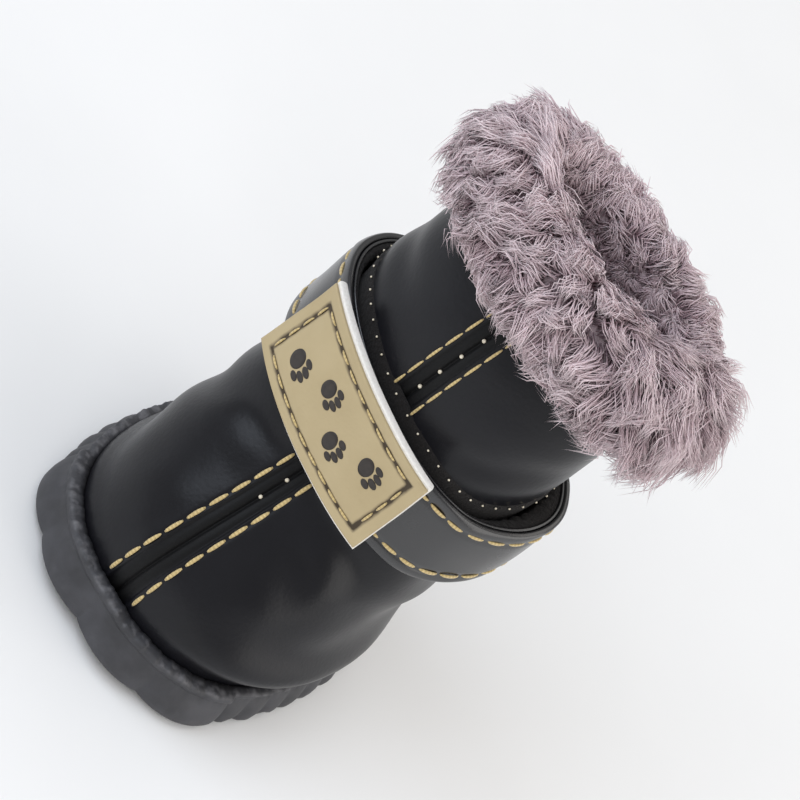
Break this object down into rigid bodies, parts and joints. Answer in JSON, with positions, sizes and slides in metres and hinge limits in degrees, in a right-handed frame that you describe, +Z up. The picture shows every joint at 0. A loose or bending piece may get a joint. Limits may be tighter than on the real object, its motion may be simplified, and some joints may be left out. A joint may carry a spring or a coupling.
{
  "type": "dog boot",
  "caption": "Winter boot for a dog's paw: soft leather-look upper on a scalloped rubber cup sole, ankle strap with label, deep fur collar.",
  "frame": {"origin": "on the floor under the middle of the sole", "axes": "+Z up, toe towards -Y, +X to the right of someone looking at the toe"},
  "size_m": [0.057, 0.0604, 0.0926],
  "materials": {
    "sole_rubber": "satin black, moulded",
    "upper_leather": "smooth semi-gloss black",
    "insole_fabric": "grey fleece",
    "strap_leather": "semi-gloss black",
    "label_leatherette": "matte gold, white foam edge",
    "collar_fur": "mauve-grey plush fur",
    "gold_thread": "twisted sewing thread",
    "lining_fleece": "short pile fleece",
    "hook_and_loop": "dark brown loop pile"
  },
  "bodies": {
    "root": {"outsole": "sole_rubber", "upper": "upper_leather", "insole": "insole_fabric", "strap": "strap_leather", "label": "label_leatherette", "collar": "collar_fur"}
  },
  "joints": []
}
